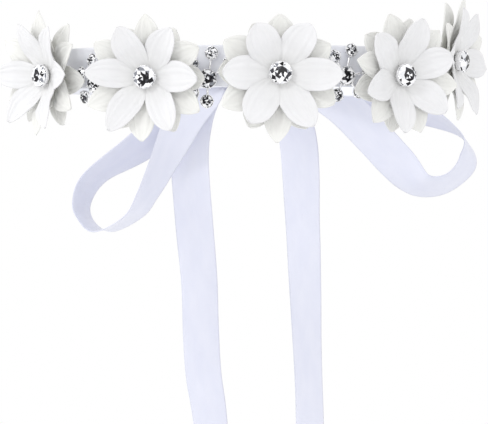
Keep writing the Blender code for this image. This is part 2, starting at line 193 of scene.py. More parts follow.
# Stations along each strip, in millimetres from the bow's frame: place, direction across the
# ribbon, and the share of its width that lies open.
LEFT_LOOP = (
    (-4.0, 2.4, -0.2, 0.0, 0.0, 1.0, 0.34),
    (-8.2, 2.4, -0.6, 0.0, 0.0, 1.0, 0.40),
    (-11.5, 2.5, -1.6, -0.15, 0.0, 0.98, 0.54),
    (-17.0, 2.7, -7.5, -0.60, 0.0, 0.80, 0.85),
    (-26.0, 3.8, -17.3, -0.97, -0.1, 0.25, 1.0),
    (-35.0, 5.5, -35.1, -0.79, -0.59, 0.16, 1.0),
    (-44.0, 8.8, -53.3, -0.59, -0.80, 0.05, 1.0),
    (-50.5, 12.0, -63.3, -0.54, -0.84, 0.0, 1.0),
    (-64.0, 19.5, -70.2, -0.50, -0.86, 0.0, 1.0),
    (-71.8, 24.5, -65.3, -0.43, -0.90, 0.05, 1.0),
    (-73.8, 25.5, -56.8, -0.50, -0.87, 0.03, 1.0),
    (-67.5, 23.5, -45.3, -0.66, -0.74, 0.11, 1.0),
    (-47.0, 16.5, -31.3, -0.57, -0.55, 0.60, 1.0),
    (-22.0, 8.0, -10.0, -0.40, -0.15, 0.90, 0.88),
    (-12.0, 5.6, -1.0, -0.10, 0.0, 1.0, 0.52),
    (-8.2, 5.2, 0.0, 0.0, 0.0, 1.0, 0.40),
    (-4.0, 5.2, 0.0, 0.0, 0.0, 1.0, 0.34),
)
RIGHT_LOOP = (
    (4.0, 2.4, 0.0, 0.0, 0.0, 1.0, 0.34),
    (8.2, 2.4, 0.0, 0.0, 0.0, 1.0, 0.40),
    (12.0, 2.5, -0.2, 0.05, 0.0, 1.0, 0.54),
    (20.0, 2.8, -1.0, 0.20, 0.0, 0.98, 0.85),
    (34.0, 3.4, -5.0, 0.50, 0.0, 0.87, 1.0),
    (46.5, 3.8, -13.0, 0.70, -0.05, 0.71, 1.0),
    (61.0, 4.3, -27.6, 0.68, -0.10, 0.73, 1.0),
    (70.5, 5.0, -37.8, 0.75, -0.20, 0.63, 1.0),
    (82.0, 6.6, -49.2, 0.30, -0.77, 0.56, 1.0),
    (95.0, 8.3, -48.5, -0.11, -0.87, 0.48, 1.0),
    (105.0, 10.0, -38.0, -0.53, -0.83, 0.15, 1.0),
    (102.0, 12.3, -25.6, 0.0, -1.0, 0.0, 1.0),
    (82.0, 15.5, -14.5, 0.20, -0.80, 0.55, 1.0),
    (58.0, 14.5, -7.5, 0.10, -0.40, 0.90, 1.0),
    (37.0, 10.5, -3.0, 0.0, -0.10, 1.0, 1.0),
    (20.0, 7.0, -0.5, 0.0, 0.0, 1.0, 0.85),
    (12.0, 5.6, 0.0, 0.0, 0.0, 1.0, 0.54),
    (8.2, 5.2, 0.0, 0.0, 0.0, 1.0, 0.40),
    (4.0, 5.2, 0.0, 0.0, 0.0, 1.0, 0.34),
)
LEFT_TAIL = (
    (-4.0, 7.6, -1.6, 0.0, 0.0, -1.0, 0.34),
    (-7.4, 9.0, -2.0, 0.0, 0.0, -1.0, 0.38),
    (-10.5, 11.0, -3.2, 0.10, 0.0, -1.0, 0.48),
    (-15.5, 15.0, -7.5, 0.45, 0.0, -0.88, 0.70),
    (-21.5, 18.5, -18.5, 0.90, 0.0, -0.42, 0.94),
    (-24.0, 19.0, -36.0, 1.0, 0.0, -0.05, 1.0),
    (-22.0, 16.0, -66.7, 1.0, 0.1, 0.05, 1.0),
    (-19.6, 13.5, -93.8, 0.96, 0.28, 0.0, 1.0),
    (-18.9, 13.5, -117.0, 0.95, 0.30, 0.0, 1.0),
    (-17.6, 15.0, -137.0, 0.94, 0.33, 0.1, 1.0),
    (-14.5, 14.0, -158.0, 0.90, 0.43, 0.1, 1.0),
    (-11.0, 12.0, -200.0, 0.85, 0.50, 0.0, 1.0),
)
RIGHT_TAIL = (
    (4.0, 7.6, -1.6, 0.0, 0.0, 1.0, 0.34),
    (7.4, 9.0, -2.0, 0.0, 0.0, 1.0, 0.38),
    (10.5, 11.0, -3.2, 0.10, 0.0, 1.0, 0.48),
    (16.5, 14.5, -7.5, 0.45, 0.0, 0.88, 0.70),
    (23.5, 17.0, -18.0, 0.92, 0.0, 0.38, 0.94),
    (26.8, 16.0, -33.0, 1.0, 0.05, 0.03, 1.0),
    (28.2, 13.5, -63.0, 0.93, 0.36, 0.0, 1.0),
    (29.2, 12.5, -87.0, 0.88, 0.48, 0.0, 1.0),
    (30.0, 13.0, -107.0, 0.82, 0.57, 0.0, 1.0),
    (30.8, 14.5, -128.0, 0.77, 0.64, 0.0, 1.0),
    (31.6, 14.0, -150.0, 0.75, 0.66, 0.0, 1.0),
    (32.8, 12.0, -196.0, 0.78, 0.62, 0.0, 1.0),
)
KNOT_HALF_WIDTH = 6.9 * MM
KNOT_HALF_DEPTH = 5.4 * MM
KNOT_HALF_HEIGHT = 7.4 * MM
KNOT_STEPS = 96
KNOT_COLUMNS = 28
KNOT_FOLD = 0.45 * MM
KNOT_STAND_OFF = 0.4 * MM

# Colours.
SATIN_COLOURS = (0.680, 0.697, 0.805, 1), (0.715, 0.728, 0.825, 1)
# The band's satin is painted lighter than the bow's: painted light that lifts the shade the flowers
# cast on the band.
CIRCLET_PAINTED_LIGHT_COLOURS = (0.79, 0.80, 0.86, 1), (0.82, 0.83, 0.88, 1)
# Front petals: light, inner and root tones. The inner and root tones are lighter, painted light
# that lifts the shade round the hub.
FRONT_PETAL_PAINTED_LIGHT_COLOURS = (0.75, 0.75, 0.765, 1), (0.76, 0.76, 0.765, 1), (0.80, 0.80, 0.79, 1)
# Back petals: light, inner and root tones, warmer than the front; they grow darker and warmer
# towards the root as painted shade.
BACK_PETAL_PAINTED_SHADE_COLOURS = (0.785, 0.785, 0.765, 1), (0.77, 0.765, 0.725, 1), (0.76, 0.74, 0.67, 1)
FLOOR_COLOUR = (0.95, 0.95, 0.95, 1)

# Satin texture scales along U and V, which are metres across and along the ribbon.
WARP_SCALE = (3600.0, 260.0, 1.0)
WEFT_SCALE = (300.0, 2600.0, 1.0)
CLOUD_SCALE = (170.0, 60.0, 1.0)

# Stage. Each light is a disk: name, place, target, size and watts.
LIGHTS = (
    ("key", (-1.0, -1.0, 0.85), (0, 0, -0.02), 0.35, 4.5),
    ("front", (0.15, -1.7, 0.1), (0, 0, -0.02), 0.8, 2.0),
    ("side", (1.4, -0.8, 0.3), (0, 0, -0.02), 0.6, 1.5),
    ("left", (-1.5, 0.2, 0.5), (0.05, 0, 0), 0.4, 4.0),
)
FLOOR_DROP = 12 * MM
FLOOR_RADIUS = 0.6


def smooth(t):
    t = min(1.0, max(0.0, t))
    return t * t * (3 - 2 * t)


# ---- Materials ----


def principled(name, **values):
    material = bpy.data.materials.new(name)
    material.use_nodes = True
    shader = material.node_tree.nodes["Principled BSDF"]
    for key, value in values.items():
        shader.inputs[key.replace("_", " ")].default_value = value
    return material, material.node_tree, shader


def add_node(tree, kind, inputs=(), **settings):
    node = tree.nodes.new(kind)
    for key, value in settings.items():
        setattr(node, key, value)
    for key, value in dict(inputs).items():
        node.inputs[key].default_value = value
    return node


def add_bump(tree, shader, heights, distance, strength=1.0):
    """Bump from the sum of (socket, share) pairs."""
    total = None
    for socket, share in heights:
        scaled = add_node(tree, "ShaderNodeMath", {1: share}, operation="MULTIPLY")
        tree.links.new(socket, scaled.inputs[0])
        if total is None:
            total = scaled.outputs[0]
            continue
        joined = add_node(tree, "ShaderNodeMath", operation="ADD")
        tree.links.new(total, joined.inputs[0])
        tree.links.new(scaled.outputs[0], joined.inputs[1])
        total = joined.outputs[0]
    bump = add_node(tree, "ShaderNodeBump", {"Distance": distance, "Strength": strength})
    tree.links.new(total, bump.inputs["Height"])
    tree.links.new(bump.outputs["Normal"], shader.inputs["Normal"])


def colour_ramp(tree, socket, stops):
    ramp = add_node(tree, "ShaderNodeValToRGB")
    ramp.color_ramp.elements[0].position, ramp.color_ramp.elements[0].color = stops[0]
    ramp.color_ramp.elements[1].position, ramp.color_ramp.elements[1].color = stops[-1]
    for position, colour in stops[1:-1]:
        element = ramp.color_ramp.elements.new(position)
        element.color = colour
    tree.links.new(socket, ramp.inputs["Fac"])
    return ramp.outputs["Color"]


def satin_material(name, dim, bright):
    """Warp-faced satin: fine threads along the ribbon, faint cross bars and a slow cloudiness."""
    material, tree, shader = principled(
        name,
        Roughness=0.38,
        Sheen_Weight=0.25,
        Sheen_Roughness=0.4,
        Anisotropic=0.45,
        Specular_IOR_Level=0.45,
    )
    uv = add_node(tree, "ShaderNodeUVMap", uv_map="ribbon")

    def stretched_noise(scale, detail):
        mapping = add_node(tree, "ShaderNodeMapping", {"Scale": scale})
        tree.links.new(uv.outputs["UV"], mapping.inputs["Vector"])
        texture = add_node(tree, "ShaderNodeTexNoise", {"Scale": 1.0, "Detail": detail})
        tree.links.new(mapping.outputs["Vector"], texture.inputs["Vector"])
        return texture.outputs["Fac"]

    threads = stretched_noise(WARP_SCALE, 2.0)
    bars = stretched_noise(WEFT_SCALE, 1.0)
    cloud = stretched_noise(CLOUD_SCALE, 2.0)
    colour = colour_ramp(tree, cloud, ((0.30, dim), (0.70, bright)))
    tree.links.new(colour, shader.inputs["Base Color"])
    add_bump(tree, shader, ((threads, 1.0), (bars, 0.5)), 0.00006, 0.6)
    return material


def petal_material(name, light, inner_painted_shading, root_painted_shading):
    """Moulded fabric with a soft felted surface, coloured from the root through an inner tone to a
    light tone; the root and inner stops are painted shading near the hub: painted light on the
    front petals, painted shade on the back ones.
    """
    material, tree, shader = principled(
        name,
        Roughness=0.62,
        Sheen_Weight=0.2,
        Sheen_Roughness=0.5,
        Specular_IOR_Level=0.3,
        Subsurface_Weight=0.15,
        Subsurface_Radius=(1.0, 1.0, 1.0),
        Subsurface_Scale=0.0012,
    )
    # Painted shading along the petal: the root and inner stops stand in for light and shade near
    # the hub.
    along = add_node(tree, "ShaderNodeAttribute", attribute_name="along")
    colour = colour_ramp(
        tree,
        along.outputs["Fac"],
        ((0.0, root_painted_shading), (0.2, inner_painted_shading), (0.5, light), (1.0, light)),
    )
    place = add_node(tree, "ShaderNodeTexCoord")
    felt = add_node(tree, "ShaderNodeTexNoise", {"Scale": 1500.0, "Detail": 3.0})
    tree.links.new(place.outputs["Object"], felt.inputs["Vector"])
    blotch = add_node(tree, "ShaderNodeTexNoise", {"Scale": 130.0, "Detail": 2.0})
    tree.links.new(place.outputs["Object"], blotch.inputs["Vector"])
    tint = colour_ramp(
        tree, blotch.outputs["Fac"], ((0.3, (0.965, 0.965, 0.96, 1)), (0.7, (1, 1, 1, 1)))
    )
    mix = add_node(tree, "ShaderNodeMix", data_type="RGBA", blend_type="MULTIPLY")
    mix.inputs["Factor"].default_value = 1.0
    tree.links.new(colour, mix.inputs["A"])
    tree.links.new(tint, mix.inputs["B"])
    tree.links.new(mix.outputs["Result"], shader.inputs["Base Color"])
    add_bump(tree, shader, ((felt.outputs["Fac"], 1.0),), 0.00005, 0.5)
    return material


def silver_material():
    material, tree, shader = principled("silver", Metallic=1.0, Roughness=0.2)
    place = add_node(tree, "ShaderNodeTexCoord")
    grain = add_node(tree, "ShaderNodeTexNoise", {"Scale": 900.0, "Detail": 3.0})
    tree.links.new(place.outputs["Object"], grain.inputs["Vector"])
    colour = colour_ramp(
        tree, grain.outputs["Fac"], ((0.35, (0.84, 0.84, 0.86, 1)), (0.65, (0.97, 0.97, 0.97, 1)))
    )
    tree.links.new(colour, shader.inputs["Base Color"])
    rough = add_node(tree, "ShaderNodeMapRange")
    rough.inputs["To Min"].default_value = 0.14
    rough.inputs["To Max"].default_value = 0.34
    tree.links.new(grain.outputs["Fac"], rough.inputs["Value"])
    tree.links.new(rough.outputs["Result"], shader.inputs["Roughness"])
    add_bump(tree, shader, ((grain.outputs["Fac"], 1.0),), 0.00003, 0.4)
    return material


def crystal_material():
    """A foil-backed stone: the colour stored on each face is a painted reflection, bright or dark.
    """
    material, tree, shader = principled(
        "crystal",
        Metallic=0.2,
        Roughness=0.05,
        Specular_IOR_Level=0.35,
    )
    facet = add_node(tree, "ShaderNodeAttribute", attribute_name="facet")
    tree.links.new(facet.outputs["Color"], shader.inputs["Base Color"])
    return material


# ---- Mesh helpers ----


def new_object(name, bm, material, smooth_faces=True):
    mesh = bpy.data.meshes.new(name)
    bm.to_mesh(mesh)
    bm.free()
    if smooth_faces:
        mesh.shade_smooth()
    obj = bpy.data.objects.new(name, mesh)
    bpy.context.scene.collection.objects.link(obj)
    obj.data.materials.append(material)
    return obj


def apply_modifiers(obj):
    graph = bpy.context.evaluated_depsgraph_get()
    mesh = bpy.data.meshes.new_from_object(obj.evaluated_get(graph), depsgraph=graph)
    obj.modifiers.clear()
    obj.data = mesh
    return obj


def solidified(obj, thickness, offset=0.0):
    modifier = obj.modifiers.new("thickness", "SOLIDIFY")
    modifier.thickness = thickness
    modifier.offset = offset
    return apply_modifiers(obj)


def put(obj, node, body):
    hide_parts(node)
    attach(obj, body)
    return obj


def facing_frame(place, facing, height, radius):
    """Local +Z points out along facing, +Y is up, at an angle round the circlet from the front."""
    place, facing = math.radians(place), math.radians(facing)
    side = Vector((math.cos(facing), math.sin(facing), 0.0))
    out = Vector((math.sin(facing), -math.cos(facing), 0.0))
    spot = Vector((radius * math.sin(place), -radius * math.cos(place), height))
    frame = Matrix((side, Vector((0.0, 0.0, 1.0)), out)).transposed().to_4x4()
    frame.translation = spot
    return frame


def lathe(bm, profile, sides, frame):
    """Turns (radius, height) points about the frame's Z; points on the axis close it."""
    rings = []
    for radius, height in profile:
        if radius == 0:
            rings.append([bm.verts.new(frame @ Vector((0, 0, height)))])
            continue
        turns = [math.tau * i / sides for i in range(sides)]
        rings.append(
            [
                bm.verts.new(frame @ Vector((radius * math.cos(a), radius * math.sin(a), height)))
                for a in turns
            ]
        )
    for low, high in zip(rings, rings[1:]):
        for i in range(sides):
            j = (i + 1) % sides
            corners = [
                low[i % len(low)],
                low[j % len(low)],
                high[j % len(high)],
                high[i % len(high)],
            ]
            bm.faces.new(dict.fromkeys(corners))


def tube(bm, points, radii, sides, frame):
    """A round tube along local points, closed at both ends."""
    rings = []
    for i, point in enumerate(points):
        run = (points[min(i + 1, len(points) - 1)] - points[max(i - 1, 0)]).normalized()
        across = run.orthogonal().normalized()
        if rings and abs(run.dot(tube_side)) < 0.99:
            across = (tube_side - tube_side.dot(run) * run).normalized()
        tube_side = across
        other = run.cross(across)
        rings.append(
            [
                bm.verts.new(
                    frame @ (point + radii[i] * (math.cos(a) * across + math.sin(a) * other))
                )
                for a in (math.tau * k / sides for k in range(sides))
            ]
        )
    for low, high in zip(rings, rings[1:]):
        for i in range(sides):
            j = (i + 1) % sides
            bm.faces.new((low[i], low[j], high[j], high[i]))
    bm.faces.new(rings[0][::-1])
    bm.faces.new(rings[-1])


# ---- Petals ----


def petal_half_width(reach, length, wide, sharp):
    """Half the petal's width at a reach: it swells from the neck, then curves in to the tip."""
    if reach < PETAL_WIDEST:
        t = smooth((reach - PETAL_NECK) / (PETAL_WIDEST - PETAL_NECK))
        return PETAL_ROOT_HALF_WIDTH + (wide - PETAL_ROOT_HALF_WIDTH) * t
    past = min(1.0, (reach - PETAL_WIDEST) / (length - PETAL_WIDEST))
    return max(PETAL_TIP_HALF_WIDTH, wide * (1 - past**sharp) ** 0.75)


def add_petal(bm, along_layer, whorl, turn, spec, chance):
    """One petal on a grid: spindle outline, cupped, creased along its midrib and veined."""
    lean = spec.front_lean if whorl.name == "front" else spec.back_lean
    grown = 1 + lean[0] * math.cos(turn) + lean[1] * math.sin(turn)
    length = PETAL_LENGTH * whorl.length * chance.uniform(0.96, 1.03) * grown
    rise = math.radians(whorl.rise * spec.opening + chance.uniform(-3.0, 3.0))
    twist = math.radians(chance.uniform(-10, 10))
    sway = chance.uniform(-0.9, 0.9) * MM
    wide = PETAL_HALF_WIDTH * spec.width * chance.uniform(0.94, 1.06)
    sharp = spec.tip + chance.uniform(-0.3, 0.4)
    cup = PETAL_CUP * chance.uniform(0.75, 1.35)
    fold = chance.uniform(-0.35, 0.35) * MM
    rotation = Matrix.Rotation(turn + math.radians(chance.uniform(-3, 3)), 4, "Z")
    rows = []
    for i in range(PETAL_ROWS + 1):
        t = i / PETAL_ROWS
        t = t * (1 + 0.35 * t * (1 - t))
        reach = PETAL_START + (length - PETAL_START) * t
        half = petal_half_width(reach, length, wide, sharp)
        lift = (reach - PETAL_START) * math.tan(rise) * min(1.0, 0.45 + t) + whorl.curl * t**3
        away = smooth((t - 0.25) / 0.4)
        row = []
        for j in range(PETAL_COLUMNS + 1):
            s = 2 * j / PETAL_COLUMNS - 1
            bowl = cup * (s * s) * math.sin(math.pi * min(1.0, t * 0.95)) * away
            rib = -MIDRIB_DEPTH * math.exp(-((s / 0.13) ** 2)) * math.sin(math.pi * t) ** 0.6
            wander = 0.35 * math.sin(5 * t + 7 * turn)
            vein = VEIN_DEPTH * math.cos(VEINS * math.pi * s + wander) * smooth(t * 2.5)
            vein *= smooth((1 - t) * 4) * smooth((1 - abs(s)) * 4)
            edge = 0.25 * MM * math.sin(9 * t + 3 * s + turn * 5) * s * s + fold * s * away
            y = half * s + sway * math.sin(math.pi * t)
            z = lift + bowl + rib + vein + edge + half * s * math.sin(twist * t) * 0.6
            vert = bm.verts.new(rotation @ Vector((reach, y, z + whorl.height)))
            vert[along_layer] = t
            row.append(vert)
        rows.append(row)
    for low, high in zip(rows, rows[1:]):
        for j in range(PETAL_COLUMNS):
            bm.faces.new((low[j], high[j], high[j + 1], low[j + 1]))


def make_whorl(name, whorl, spec, material, frame, chance):
    bm = bmesh.new()
    along = bm.verts.layers.float.new("along")
    for petal in range(PETALS):
        turn = math.radians(whorl.turn + spec.spin) + math.tau * petal / PETALS
        add_petal(bm, along, whorl, turn, spec, chance)
    hub = whorl.height - HUB_DROP
    profile = ((0.0, hub), (HUB_RADIUS * 0.6, hub), (HUB_RADIUS, hub + HUB_WALL))
    lathe(bm, profile, HUB_SIDES, Matrix.Identity(4))
    bmesh.ops.recalc_face_normals(bm, faces=bm.faces)
    bmesh.ops.translate(bm, verts=bm.verts, vec=(0, 0, spec.lift))
    bmesh.ops.transform(bm, verts=bm.verts, matrix=frame)
    petals = new_object(f"{name}_{whorl.name}_petals_look", bm, material)
    return solidified(petals, PETAL_THICKNESS)


def make_boss(name, spec, material, frame):
    """The stitched stem between the ribbon and the rear petals, with a few turns of thread."""
    tilt = abs(math.radians(spec.facing - spec.place))
    foot = BOSS_FOOT + BOSS_RADIUS * math.sin(tilt) * 0.6
    top = WHORLS[0].height + spec.lift
    bm = bmesh.new()
    profile = [(0.0, foot), (BOSS_RADIUS * 1.15, foot)]
    for i in range(THREAD_STEPS + 1):
        t = i / THREAD_STEPS
        bead = THREAD_DEPTH * math.sin(math.tau * THREAD_TURNS * t)
        radius = BOSS_RADIUS * (1.0 - 0.15 * math.sin(math.pi * t)) + bead
        profile.append((radius, foot + (top - foot) * t))
    profile.append((0.0, top))
    lathe(bm, profile, BOSS_SIDES, frame)
    bmesh.ops.recalc_face_normals(bm, faces=bm.faces)
    along = bm.verts.layers.float.new("along")
    for vert in bm.verts:
        vert[along] = 0.5
    return new_object(f"{name}_boss_look", bm, material)


# ---- Stones and cups ----


# Painted reflections for the stones' faces, from a bright reflection to black, and the mixes for
# the table, the crown and the outer ring.
BRIGHT, PALE, MID, DARK, BLACK = (
    (0.98, 0.98, 1.00),
    (0.80, 0.81, 0.84),
    (0.24, 0.25, 0.28),
    (0.05, 0.05, 0.06),
    (0.005, 0.005, 0.007),
)
TABLE_FACETS = (BRIGHT, BLACK, BLACK, BLACK, DARK, PALE)
CROWN_FACETS = (BRIGHT, BRIGHT, BLACK, DARK, PALE, MID)
OUTER_FACETS = (BRIGHT, BRIGHT, PALE, PALE, MID, BLACK)


def make_stone(name, radius, base, frame, material, chance, sides=8):
    """A brilliant: split table, star and kite facets, a belt and a pavilion down to a point."""
    girdle = base + radius * STONE_DEPTH
    belt = girdle + radius * STONE_BELT
    table = belt + radius * STONE_CROWN
    bm = bmesh.new()

    def ring(r, h, count, shift=0.0):
        return [
            bm.verts.new((r * math.cos(a), r * math.sin(a), h))
            for a in (math.tau * (i + shift) / count for i in range(count))
        ]

    centre = bm.verts.new((0, 0, table + radius * 0.015))
    inner = ring(radius * 0.32, table + radius * 0.01, sides, 0.5)
    rim = ring(radius * 0.60, table, sides)
    middle = ring(radius * 0.80, belt + radius * STONE_CROWN * 0.52, sides, 0.5)
    upper = ring(radius, belt, 2 * sides)
    lower = ring(radius, girdle, 2 * sides)
    point = bm.verts.new((0, 0, base))
    for i in range(sides):
        j = (i + 1) % sides
        before = (i - 1) % sides
        bm.faces.new((centre, inner[i], inner[j]))
        bm.faces.new((rim[i], inner[i], inner[before]))
        bm.faces.new((rim[i], rim[j], inner[i]))
        bm.faces.new((rim[i], middle[i], rim[j]))
        bm.faces.new((rim[i], middle[before], upper[2 * i], middle[i]))
        bm.faces.new((middle[i], upper[2 * i], upper[2 * i + 1]))
        bm.faces.new((middle[i], upper[2 * i + 1], upper[(2 * i + 2) % (2 * sides)]))
    for i in range(2 * sides):
        j = (i + 1) % (2 * sides)
        bm.faces.new((upper[i], lower[i], lower[j], upper[j]))
        bm.faces.new((lower[i], point, lower[j]))
    bmesh.ops.recalc_face_normals(bm, faces=bm.faces)
    # Each face is painted with a reflection picked from the mix for its ring.
    facet = bm.loops.layers.float_color.new("facet")
    for face in bm.faces:
        middle_of = face.calc_center_median()
        away = math.hypot(middle_of.x, middle_of.y) / radius
        facets = TABLE_FACETS if away < 0.5 else CROWN_FACETS if away < 0.78 else OUTER_FACETS
        colour = facets[chance.randrange(len(facets))]
        for loop in face.loops:
            loop[facet] = (*colour, 1.0)
    bmesh.ops.transform(bm, verts=bm.verts, matrix=frame)
    return new_object(name, bm, material, smooth_faces=False)


def add_cup(bm, radius, base, frame, claws, turn=0.0):
    """A thin-walled cup with claws bent over the stone's belt, as part of bm."""
    bore = radius + CUP_GAP * 0.4
    seat = base + CUP_FLOOR
    rim = seat + radius * (STONE_DEPTH + STONE_BELT * 0.4)
    outside = bore + CUP_WALL
    lathe(
        bm,
        (
            (0.0, seat),
            (bore * 0.55, seat + radius * STONE_DEPTH * 0.5),
            (bore, seat + radius * STONE_DEPTH * 0.95),
            (bore, rim),
            (outside * 0.98, rim + 0.06 * MM),
            (outside, rim - 0.1 * MM),
            (outside * 0.97, rim - radius * 0.35),
            (radius * 0.72, base + 0.1 * MM),
            (radius * 0.62, base),
            (0.0, base),
        ),
        CUP_SIDES,
        frame,
    )
    top = seat + radius * (STONE_DEPTH + STONE_BELT)
    for claw in range(claws):
        rotation = Matrix.Rotation(turn + math.tau * claw / claws, 4, "Z")
        points = [
            Vector((outside * 0.96, 0, rim - radius * 0.45)),
            Vector((outside + 0.10 * MM, 0, rim)),
            Vector((outside - 0.05 * MM, 0, top + 0.15 * MM)),
            Vector((outside - radius * 0.16 - 0.2 * MM, 0, top + radius * 0.20)),
            Vector((outside - radius * 0.30 - 0.3 * MM, 0, top + radius * 0.26)),
        ]
        thick = CLAW_RADIUS * (0.8 + 0.12 * radius / (2.4 * MM))
        radii = [thick * k for k in (0.7, 1.0, 1.05, 1.0, 0.55)]
        tube(bm, points, radii, CLAW_SIDES, frame @ rotation)


def make_flower(number, spec, looks, frame_radius, chance):
    name = f"flower_{number}"
    frame = facing_frame(spec.place, spec.facing, spec.height, frame_radius)
    for whorl in WHORLS:
        material = looks["front petal painted light" if whorl.name == "front" else "back petal painted shade"]
        petals = make_whorl(name, whorl, spec, material, frame, chance)
        if whorl.name == "rear":
            boss = make_boss(name, spec, looks["back petal painted shade"], frame)
            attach(boss, "crown")
        put(petals, f"{name}_{whorl.name}_petals", "crown")
    base = WHORLS[-1].height + spec.lift + FLOWER_CUP_STAND
    bm = bmesh.new()
    add_cup(bm, FLOWER_STONE_RADIUS, base, frame, BIG_STONE_CLAWS, 0.3 + number)
    bmesh.ops.recalc_face_normals(bm, faces=bm.faces)
    cup = new_object(f"{name}_stone_cup_look", bm, looks["silver"])
    put(cup, f"{name}_stone_cup", "crown")
    stone = make_stone(
        f"{name}_stone_look",
        FLOWER_STONE_RADIUS * FLOWER_STONE_OVERSIZE,
        base + CUP_FLOOR + STONE_GAP,
        frame @ Matrix.Rotation(0.2 * number, 4, "Z"),
        looks["crystal"],
        chance,
    )
    put(stone, f"{name}_stone", "crown")


def make_spray(number, spec, looks, frame_radius, chance):
    """A middle stone, and small ones on wire arms, each tipped a little its own way."""
    name = f"spray_{number}"
    frame = facing_frame(spec.place, spec.place, spec.height, frame_radius + SPRAY_STAND_OFF)
    bm = bmesh.new()
    add_cup(bm, SPRAY_CENTRE_RADIUS, 0.0, frame, BIG_STONE_CLAWS, 0.4 * number)
    centre = make_stone(
        f"{name}_centre_stone_look",
        SPRAY_CENTRE_RADIUS,
        CUP_FLOOR + STONE_GAP,
        frame @ Matrix.Rotation(0.35 * number, 4, "Z"),
        looks["crystal"],
        chance,
    )
    put(centre, f"{name}_centre_stone", "crown")
    for index, (degrees, millimetres) in enumerate(spec.stones):
        angle, reach = math.radians(degrees), millimetres * MM
        out = Vector((math.cos(angle), math.sin(angle), 0.0))
        tip_axis = Vector((-out.y, out.x, 0.0))
        tip = math.radians(chance.uniform(0.2, 1.0) * SPRAY_FACE_TILT)
        stone_frame = frame @ Matrix.Translation(out * reach) @ Matrix.Rotation(tip, 4, tip_axis)
        add_cup(bm, SPRAY_STONE_RADIUS, 0.0, stone_frame, SMALL_STONE_CLAWS, angle)
        start, end = SPRAY_CENTRE_RADIUS * 0.9, reach - SPRAY_STONE_RADIUS * 0.85
        points = []
        for t in SPRAY_ARM_SHARES:
            height = SPRAY_ARM_HEIGHT + SPRAY_ARM_BOW * math.sin(math.pi * t)
            points.append(out * (start + (end - start) * t) + Vector((0, 0, height)))
        tube(bm, points, [SPRAY_ARM_RADIUS] * len(points), SPRAY_ARM_SIDES, frame)
        stone = make_stone(
            f"{name}_stone_{index + 1}_look",
            SPRAY_STONE_RADIUS,
            CUP_FLOOR + STONE_GAP,
            stone_frame @ Matrix.Rotation(angle, 4, "Z"),
            looks["crystal"],
            chance,
        )
        put(stone, f"{name}_stone_{index + 1}", "crown")
    bmesh.ops.recalc_face_normals(bm, faces=bm.faces)
    casting = new_object(f"{name}_casting_look", bm, looks["silver"])
    put(casting, f"{name}_casting", "crown")


# ---- Ribbon ----


def catmull_rom(stations, per_station):
    """Smooth points through the stations, per_station of them to each."""

    def between(p, q, r, s, t):
        square = (2 * p - 5 * q + 4 * r - s) * t * t
        cube = (3 * q - p - 3 * r + s) * t**3
        return 0.5 * (2 * q + (r - p) * t + square + cube)

    last = len(stations) - 1
    points = []
    for i in range(last):
        a = stations[max(i - 1, 0)]
        b, c = stations[i], stations[i + 1]
        d = stations[min(i + 2, last)]
        for step in range(per_station):
            t = step / per_station
            points.append(tuple(between(p, q, r, s, t) for p, q, r, s in zip(a, b, c, d)))
    points.append(tuple(stations[-1]))
    return points


def ribbon_mesh(name, rows, lengths, widths, material, closed=False):
    """A strip through rows of points, thicker at its selvedges. UV is metres across and along."""
    bm = bmesh.new()
    uv = bm.loops.layers.uv.new("ribbon")
    grid = [[bm.verts.new(point) for point in row] for row in rows]
    pairs = list(zip(range(len(grid)), range(1, len(grid))))
    if closed:
        pairs.append((len(grid) - 1, 0))
    for low, high in pairs:
        for j in range(len(grid[low]) - 1):
            face = bm.faces.new((grid[low][j], grid[low][j + 1], grid[high][j + 1], grid[high][j]))
            near, far = lengths[low], lengths[high] or lengths[-1]
            corners = ((j, near), (j + 1, near), (j + 1, far), (j, far))
            for loop, (k, along) in zip(face.loops, corners):
                loop[uv].uv = (widths[k], along)
    obj = new_object(name, bm, material)
    group = obj.vertex_groups.new(name="thickness")
    columns = len(rows[0])
    selvedges = (0, 1, columns - 2, columns - 1)
    for index in range(len(obj.data.vertices)):
        weight = 1.0 if index % columns in selvedges else BODY_THICKNESS_SHARE
        group.add([index], weight, "REPLACE")
    modifier = obj.modifiers.new("thickness", "SOLIDIFY")
    modifier.thickness = RIBBON_THICKNESS
    modifier.offset = 0
    modifier.vertex_group = "thickness"
    return apply_modifiers(obj)


def across_shares():
    """Shares across the ribbon, with a narrow selvedge at each side."""
    span = 2 - 2 * SELVEDGE_SHARE
    inner = [-1 + SELVEDGE_SHARE + span * k / RIBBON_COLUMNS for k in range(RIBBON_COLUMNS + 1)]
    return [-1.0, *inner, 1.0]


def make_strip(name, stations, frame, width, material, slant):
    """A ribbon along its stations, pleated where it is gathered. Returns it and its length."""
    points = catmull_rom(stations, STEPS_PER_STATION)
    places = [Vector(p[:3]) * MM for p in points]
    shares = across_shares()
    rows, lengths = [], [0.0001]
    for i, point in enumerate(points):
        run = (places[min(i + 1, len(places) - 1)] - places[max(i - 1, 0)]).normalized()
        across = Vector(point[3:6])
        across = (across - across.dot(run) * run).normalized()
        out = run.cross(across)
        half = width / 2 * min(1.0, point[6])
        gather = (1 - min(1.0, point[6])) * PLEAT_DEPTH
        end = smooth((i - (len(points) - 1 - STEPS_PER_STATION)) / STEPS_PER_STATION)
        row = []
        for share in shares:
            spot = places[i] + across * half * share
            fold = gather * math.sin(PLEATS * math.pi * share)
            ripple = RIPPLE * noise.noise(spot * 55 + Vector((share, 0, SEED)))
            crown = -STRIP_CROWN * (share * share) * min(1.0, point[6])
            spot = spot + out * (fold + ripple + crown) + run * slant * end * share
            row.append(frame @ spot)
        rows.append(row)
        if i:
            lengths.append(lengths[-1] + (places[i] - places[i - 1]).length)
    widths = [width / 2 * share for share in shares]
    return ribbon_mesh(name, rows, lengths, widths, material), lengths[-1]


